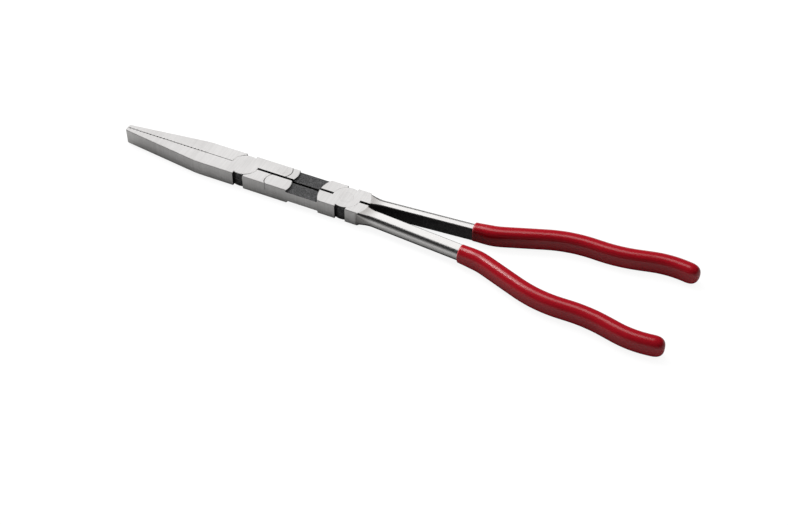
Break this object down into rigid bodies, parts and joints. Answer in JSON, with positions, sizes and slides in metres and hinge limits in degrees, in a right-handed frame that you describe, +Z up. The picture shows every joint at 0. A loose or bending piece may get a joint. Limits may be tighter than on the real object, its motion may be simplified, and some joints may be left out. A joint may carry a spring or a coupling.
{
  "type": "long-reach double-joint flat-nose pliers",
  "caption": "Long-reach compound pliers: two lap joints linked by half-lap knuckles, toothed flat-nose jaws, slim rods and dipped grips.",
  "frame": {"origin": "bottom centre of the closed tool's bounding box, on the surface that the grips rest on", "axes": "+X from the jaw tip to the handle ends, +Y across the jaws from the near jaw to the far jaw, +Z up through the thickness, along every pivot"},
  "size_m": [0.3401, 0.0698, 0.012],
  "materials": {
    "jaw_steel": "surface ground flats with fine cross grinding, satin sides",
    "handle_steel": "ground head, dark forged tongue, polished rod",
    "rivet_steel": "peened and ground flush",
    "grip_vinyl": "dipped vinyl, gloss"
  },
  "bodies": {
    "handle_near": {"handle_near": "handle_steel", "grip_near": "grip_vinyl", "handle_pivot_rivet": "rivet_steel", "link_rivet_far": "rivet_steel"},
    "handle_far": {"handle_far": "handle_steel", "grip_far": "grip_vinyl", "link_rivet_near": "rivet_steel"},
    "jaw_near": {"jaw_near": "jaw_steel", "jaw_pivot_rivet": "rivet_steel"},
    "jaw_far": {"jaw_far": "jaw_steel"}
  },
  "joints": [
    {"name": "handle_pivot", "type": "hinge", "parent": "handle_near", "child": "handle_far", "pos_m": [-0.0265, 0, 0.006], "axis": [0, 0, 1], "range_deg": [0, 17.4]},
    {"name": "far_link_pivot", "type": "hinge", "parent": "handle_near", "child": "jaw_near", "pos_m": [-0.0697, 0.0051, 0.006], "axis": [0, 0, 1], "range_deg": [0, 26.6]},
    {"name": "jaw_pivot", "type": "hinge", "parent": "jaw_near", "child": "jaw_far", "pos_m": [-0.0915, 0, 0.006], "axis": [0, 0, 1], "range_deg": [-35.7, 0]}
  ],
  "couplings": [
    {"joint": "far_link_pivot", "follows": "handle_pivot", "ratio": 1.5237},
    {"joint": "jaw_pivot", "follows": "handle_pivot", "ratio": -2.0474}
  ]
}
